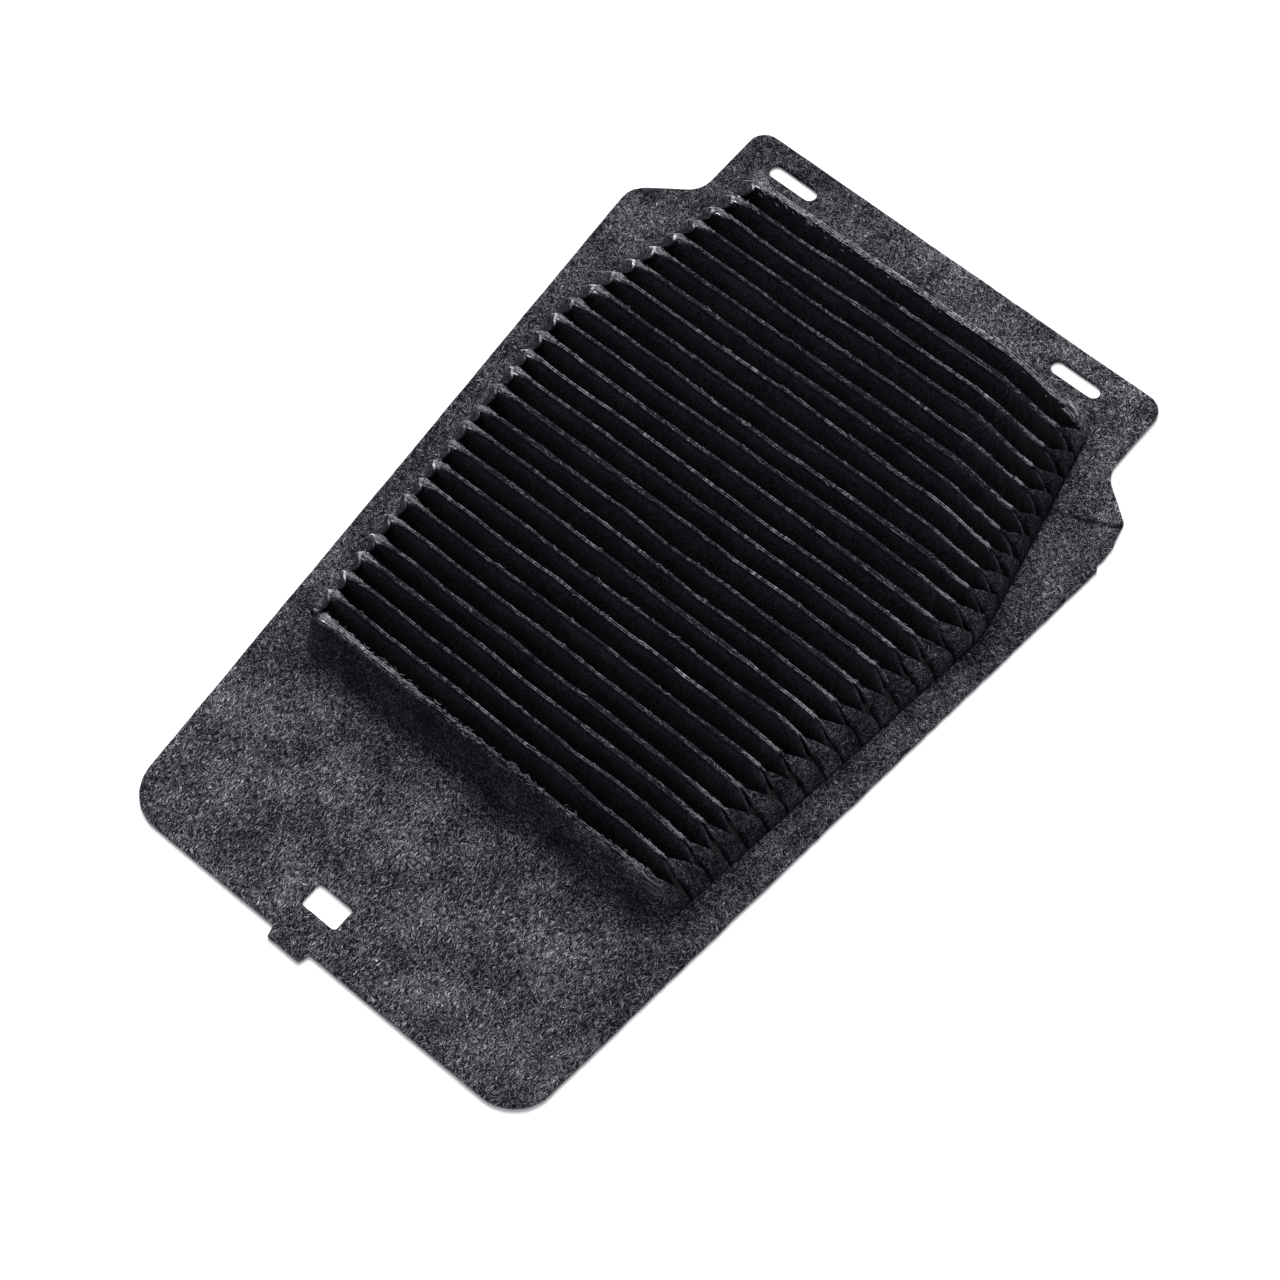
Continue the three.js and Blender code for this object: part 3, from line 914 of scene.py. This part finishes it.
def make_media():
    """One strip folded into every pleat, made from the middle line of its section."""
    middle, lines, centres = media_rows()
    x, y, z = np.moveaxis(middle, -1, 0)
    tangent = unit(stacked(np.gradient(y, axis=0), np.gradient(z, axis=0)))
    normal = stacked(0, -tangent[..., 1], tangent[..., 0])
    layers = [middle + sign * MEDIA / 2 * normal for sign in (1, -1)]
    run = run_along(middle[..., 1:])

    # Each row's distance along the sheet from its own ridge, for the pale line along the fold.
    owner = np.abs(np.arange(len(x))[:, None] - np.array(centres)).argmin(1)
    from_ridge = run - run[centres][owner]
    width, strength = np.moveaxis(lines[centres][owner], -1, 0)

    # The pleats' left ends are paler.
    left_tip = smooth(x.min(1, keepdims=True) - x, -2.5, -0.5) * smooth(z, 12, 16.5)
    left_tip = left_tip * (0.6 + 0.6 * noise(x, run, size=2))

    fields = {
        "sheet": stacked(x, run, 0) * MM,
        "fold": stacked(from_ridge, width, strength),
        "rim": np.zeros_like(middle),
        "shade": 0.45 * (np.abs(from_ridge) < width + 0.6) - 1.1 * left_tip,
    }
    names = "folded_media", "pleated_media", "filter_media"
    return make_strip(*names, MEDIA_MATERIAL, layers, grid_faces(*x.shape), 0.05, fields)


# ---- The side webs ----
WEB_FOOT = 0.15
WEB_ABOVE_RIDGE = 0.15
WEB_ROWS = 24

# Places between two seams, and how far the web's top edge has fallen at some, from 0 to 1.
CELL_SHARES = (0, 0.04, 0.08, 0.13, 0.2, 0.3, 0.4, 0.5, 0.6, 0.7, 0.78, 0.84, 0.89, 0.93, 0.97)
NOTCH_RIGHT = ((0, 0.1, 0.33, 0.65, 0.93, 0.97, 1), (0, 0.12, 0.285, 0.585, 0.97, 1, 0))
NOTCH_LEFT = ((0, 0.04, 0.1, 0.5, 0.8, 0.95, 1), (0, 0.9, 1, 0.75, 0.35, 0.1, 0))


def seam_top(i, y, side):
    """How high the web stands by ridge i, a little above the ridge's drooping end."""
    return ridge_z(i, side * top_half(y, side)) + WEB_ABOVE_RIDGE


def web_columns(side):
    """Where the web's columns stand: on each seam, where a ridge comes down the side, and between.
    Gives their y, the cell each belongs to, how far across its cell it is, and its seams' places."""
    index = np.arange(PLEATS)
    seams = ridge_y(index, side * top_half(ridge_place(index), side))
    front, rear = FRONT.side_y + 0.1, REAR.side_y - 0.1
    lead, tail = np.linspace(front, seams[0], 10)[:-1], np.linspace(seams[-1], rear, 10)
    shares = np.array(CELL_SHARES)
    y = np.concatenate([lead, mix(seams[:-1, None], seams[1:, None], shares).ravel(), tail])
    around = len(lead), len(tail)
    cell = np.pad(np.repeat(index[:-1], len(shares)), around, constant_values=-1)
    share = np.pad(np.tile(shares, PLEATS - 1), around)
    return y, cell, share, seams


def web_heights(side, y, cell, share, nearest, signed):
    """The height of each of the web's points, row by row. Its top edge starts high on each ridge and
    falls towards the next one."""
    if side > 0:
        notch = 5.0 + 2.4 * noise(cell * 7.3, 5.0) + 0.6 * smooth(y, BEND_Y - 20, BEND_Y + 5)
        notch = np.maximum(notch * (1 - 0.35 * smooth(y, BEND_Y, BEND_Y + 20)), 2.0)
        profile = np.interp(share, *NOTCH_RIGHT)
    else:
        notch = 15.0 + 0.8 * noise(cell * 7.0, 25.0)
        profile = np.interp(share, *NOTCH_LEFT)
    crest = seam_top(nearest, y, side)
    lead_or_tail = crest - 1.2 * smooth(np.abs(signed), 0.3, 3)
    top = np.where(cell >= 0, mix(crest, notch, profile), lead_or_tail)
    rows = np.linspace(0, 1, WEB_ROWS)[:, None]
    rows = mix(rows, np.sin(rows * math.pi / 2), 0.6)
    return WEB_FOOT + (top - WEB_FOOT) * rows, top


def web_relief(side, y, z, cell, share, signed):
    """How far the web stands out. It creases in along the seam below each ridge, stands out above
    that, and is uneven between the seams."""
    relief = np.exp(-((signed / 0.5) ** 2)) * mix(-0.7, 0.35, smooth(z, 8.5, 14))
    if side < 0:
        relief = relief + 0.95 * np.exp(-(((signed + 0.3) / 1.3) ** 2)) * smooth(z, 7, 12)
    facet = noise(cell * 11.0, side * 3.0)
    relief = relief + (0.3 + 0.15 * facet) * np.sin(math.pi * share) * smooth(z, 1.3, 6)
    relief = relief + 0.35 * facet * (share - 0.5) * (cell >= 0) * smooth(z, 2, 8)
    relief = relief + 0.22 * noise(y + 0.12 * z, z * 0.3, side * 9.0, size=1.5)
    return relief * smooth(z, 1.3, 4)


def web_tones(side, y, z, run, share, signed):
    """The pale lines along the seams and the top edge, partly paler fuzz and partly painted highlight,
    and the painted shade in the seams and between them.
    """
    strength, fades = (0.55, 6) if side > 0 else (0.9, 9)
    glow = strength * smooth(z, fades, 15.5) * (0.8 + 0.3 * noise(y, z, size=3))
    fold = stacked(signed, 0.12, glow)
    # Painted shade in the creases along the seams, low down.
    web_shade = np.exp(-((signed / 0.5) ** 2)) * (1 - smooth(z, 6, 13)) * 0.8
    if side > 0:
        rim_glow = 0.12
        # Painted shade on the right web beyond the bend, which is turned from the light.
        beyond = smooth(y, BEND_Y - 10, BEND_Y + 15) * (1 - smooth(y, y[-1] - 9, y[-1] - 1))
        web_shade = np.maximum(web_shade, 0.35 * beyond)
    else:
        # Painted highlight on the left web's top edge, strongest on the hoods.
        rim_glow = mix(0.8, 0.25, smooth(np.abs(signed + 0.3), 0.9, 2.4))
        # Painted shade on the left web between the hoods.
        between = np.sin(math.pi * np.clip(share * 1.15, 0, 1)) ** 2
        web_shade = np.maximum(web_shade, 0.62 * between * smooth(z, 3, 10))
    rim = stacked(run[-1] - run, 0, rim_glow)
    return fold, rim, web_shade


def make_web(side, name, node):
    """The felt that closes the pleats' ends on one long side."""
    y, cell, share, seams = web_columns(side)
    nearest = np.abs(y[:, None] - seams).argmin(1)
    signed = y - seams[nearest]
    z, top = web_heights(side, y, cell, share, nearest, signed)
    relief = web_relief(side, y, z, cell, share, signed)
    drawn_in = 1.6 * np.sin(math.pi * share) ** 2 * smooth(z, 9, 14.5) * (side < 0)

    # The side rounds over by the same share of its height wherever the ridge ends droop.
    undrooped = z * PACK_TOP / np.interp(y, seams, seam_top(np.arange(PLEATS), seams, side))
    outside = pack_half(y) - side_inset(y, np.minimum(undrooped, PACK_TOP - 0.3), side)
    pinch = smooth(top - z, 0, 4 if side < 0 else 1)
    layers = []
    for inward, follows in ((0, 1), (mix(0.4, WEB, pinch), 0.3)):
        x = side * (outside - (inward + drawn_in) + follows * relief)
        layers.append(stacked(x, y, z))
    run = run_along(layers[0])
    sheet = stacked(y, run, 30.0 * side)
    fold, rim, web_shade = web_tones(side, y, z, run, share, signed)

    faces = grid_faces(*z.shape)
    if side < 0:
        faces = [face[::-1] for face in faces]
    fields = {"sheet": sheet * MM, "fold": fold, "rim": rim, "shade": web_shade}
    return make_strip(name, node, "band_felt", SHADED_BAND_FELT, layers, faces, 0.08, fields)


# ---- Glue lines ----
GLUE_SIDES = 10


def make_glue(name, node, path, height, width):
    """A glue line pressed out unevenly along a path."""
    path = spaced(path, 1.0, closed=False)
    across = to_the_right(np.gradient(path, axis=0))
    run = np.arange(len(path)) * 1.0
    width = width * (1 + 0.1 * noise(run, len(name) * 3.0, size=5))
    tall = height * (0.5 + 0.09 * noise(run, len(name) * 5.0, size=4))
    taper = np.sqrt(np.clip(np.minimum(run, run[-1] - run) / 1.2, 0.02, 1))
    rings = []
    for angle in np.arange(GLUE_SIDES) * math.tau / GLUE_SIDES:
        plan = path + across * (width * taper * math.cos(angle))[:, None]
        rings.append(stacked(*plan.T, height / 2 + 0.05 + tall * taper * math.sin(angle)))
    vertices = np.stack(rings, 1).reshape(-1, 3)
    start, end = list(range(GLUE_SIDES)), list(range(len(vertices) - GLUE_SIDES, len(vertices)))
    faces = []
    for ring in range(0, len(vertices) - GLUE_SIDES, GLUE_SIDES):
        for j in range(GLUE_SIDES):
            a, b = ring + j, ring + (j + 1) % GLUE_SIDES
            faces.append((a, b, b + GLUE_SIDES, a + GLUE_SIDES))
    return make_piece(name, node, "hot_melt", GLUE, vertices, faces + [start[::-1], end])


def make_all_glue():
    y = np.linspace(FRONT.side_y, REAR.side_y, 60)
    for side, word in ((-1, "left"), (1, "right")):
        gap = WINDOW_GAPS[side]
        path = stacked(side * (pack_half(y) + gap / 2), y)
        make_glue(f"glue_line_{word}", f"bond_bead_{word}", path, 0.8, 0.47 * gap)
    for end, word in ((FRONT, "front"), (REAR, "rear")):
        across = end.foot + end.out * 0.55
        path = [(-end.corner_x + 1, across), (end.corner_x - 1, across)]
        make_glue(f"glue_line_{word}", f"bond_bead_{word}", path, 0.75, 0.36)


# ---- Loose fibres ----
FUZZ_LEVEL = 17.6


def make_fuzz(name, slot, roots, along, length, width, pale):
    """Curled flat fibres, each a ribbon of three faces with tapering ends."""
    rng = np.random.default_rng(SEED + len(name))
    count = len(roots)
    along = unit(along)
    across = unit(np.cross((0, 0, 1), along))
    curl = rng.normal(0, 0.12, count)
    lift = rng.uniform(0.0, 0.12, count)
    vertices = np.zeros((count, 8, 3))
    for k, s in enumerate((-0.5, -0.17, 0.17, 0.5)):
        bow = (0.25 - s * s) * 4
        centre = roots + along * (s * length)[:, None]
        centre = centre + across * (curl * bow * length * 0.5)[:, None]
        centre[:, 2] += lift * bow
        half = across * width / 2 * (1.0 if abs(s) < 0.3 else 0.35)
        vertices[:, 2 * k] = centre - half
        vertices[:, 2 * k + 1] = centre + half
    base = (np.arange(count) * 8)[:, None, None]
    quads = np.array([(0, 2, 3, 1), (2, 4, 5, 3), (4, 6, 7, 5)])[None] + base
    fields = {"pale": np.repeat(pale, 8)}
    vertices, faces = vertices.reshape(-1, 3), quads.reshape(-1, 4).tolist()
    return make_piece(name, None, slot, FUZZ, vertices, faces, fields)


def crest_fuzz():
    """Fibres that lie along the pleat ridges, thickest on the two end ridges and at the left tips."""
    rng = np.random.default_rng(SEED + 1)
    roots, along, pale = [], [], []
    for i in range(PLEATS):
        end_ridge = i in (0, PLEATS - 1)
        left, right = (ridge_end(i, side, FUZZ_LEVEL) for side in (-1, 1))
        x = rng.uniform(-left, right, 150 if end_ridge else 60)
        if end_ridge:
            x = np.concatenate([x, -left + np.abs(rng.normal(0, 42 if i else 30, 300))])
        at_right = right + 1 - np.abs(rng.normal(0, 4.0, 40))
        at_left = -left - 1 + np.abs(rng.normal(0, 3.0, 60 if i else 180))
        x = np.concatenate([x, at_left, at_right])
        x = x[x < right + 1]
        off = rng.normal(0, 0.6 if end_ridge else 0.22, len(x))
        off = off + 0.35 * smooth(-x, left - 6, left) * rng.normal(0, 1, len(x))
        z = ridge_z(i, x) + MEDIA / 2 + 0.02 - 0.5 * off**2
        roots.append(stacked(x, ridge_y(i, x) + off, z))
        angle = rng.normal(0, 0.3, len(x)) + 0.7 * smooth(-x, left - 5, left) * rng.normal(0, 1, len(x))
        along.append(stacked(np.cos(angle), np.sin(angle), rng.normal(0, 0.06, len(x))))
        pale.append(rng.beta(2.2, 1.8, len(x)))
    roots, along, pale = (np.concatenate(v) for v in (roots, along, pale))
    length = rng.uniform(0.5, 1.9, len(roots))
    return make_fuzz("ridge_fuzz", "filter_media", roots, along, length, 0.08, pale)


def flange_fuzz(count=5200):
    """Sparse pale fibres lying on the flange."""
    rng = np.random.default_rng(SEED + 2)
    loops = [flange_outline(), *map(opening_outline, HOLE_SIZES)]
    places = rng.uniform((-88, NARROW_EDGE), (88, FAR_EDGE), (3 * count, 2))
    x, y = places.T
    off_pack = (np.abs(x) > pack_half(y) + 1.5) | (y < FRONT.foot - 7) | (y > REAR.foot + 5)
    x, y = places[crossings(places, loops, 0.8) & off_pack][:count].T
    z = FELT + felt_lift(x, y) + 0.02
    angle = 1.0 + 1.6 * noise(x, y, 2.0, size=22) + rng.normal(0, 0.7, len(x))
    along = stacked(np.cos(angle), np.sin(angle), 0)
    length = rng.uniform(0.7, 2.4, len(x))
    pale = rng.beta(1.3, 3.0, len(x)) * 0.8
    roots = stacked(x, y, z)
    return make_fuzz("flange_fuzz", "flange_felt", roots, along, length, 0.09, pale)


# ---- The object ----
flange = make_flange()
media = make_media()
webs = [
    make_web(-1, "side_web_left", "side_band_left"),
    make_web(1, "side_web_right", "side_band_right"),
]
make_all_glue()
ridge_fuzz = crest_fuzz()
loose_fuzz = flange_fuzz()


# ---- Camera, floor and light ----
TARGET = Vector((5.57, -10.96, 0)) * MM
AZIMUTH, ELEVATION = math.radians(39.96), math.radians(64.97)
DISTANCE = 0.823
LENS = 86.6


def look_at(thing, place, target):
    thing.location = place
    thing.rotation_euler = (place - target).to_track_quat("Z", "Y").to_euler()


def add_camera():
    camera = add_object("camera", bpy.data.cameras.new("camera"))
    camera.data.lens = LENS
    camera.data.sensor_width = 36
    level = math.cos(ELEVATION)
    back = Vector((math.sin(AZIMUTH) * level, -math.cos(AZIMUTH) * level, math.sin(ELEVATION)))
    look_at(camera, TARGET + back * DISTANCE, TARGET)
    scene.camera = camera


def add_key_light():
    """A wide soft light from behind on the left."""
    light = add_object("key_light", bpy.data.lights.new("key_light", "AREA"))
    light.data.shape = "DISK"
    light.data.size = 1.5
    light.data.energy = 49
    look_at(light, Vector((-0.74, 0.92, 1.35)), Vector((0, 0, 0)))


def add_floor():
    """A wide pale floor, just under the flange."""
    mesh = bpy.data.meshes.new("floor")
    mesh.from_pydata([(4.0 * a, 4.0 * b, 0) for a, b in SQUARE], [], [(0, 1, 2, 3)])
    graph = Graph("floor")
    place = graph.add("TexCoord").outputs["Object"]
    cloud = graph.noise(place, 3.0, 1.0)
    colour = graph.blend(cloud, (0.93, 0.93, 0.93, 1), (0.95, 0.95, 0.95, 1))
    mesh.materials.append(graph.finish(colour, cloud, 0.0, 0.9))
    floor = add_object("floor", mesh)
    floor.location.z = -0.02 * MM


def add_world():
    world = bpy.data.worlds.new("studio")
    world.use_nodes = True
    background = world.node_tree.nodes["Background"]
    background.inputs["Color"].default_value = (0.97, 0.975, 1.0, 1)
    background.inputs["Strength"].default_value = 0.585
    scene.world = world


add_camera()
add_floor()
add_world()
add_key_light()
scene.view_settings.view_transform = "Standard"
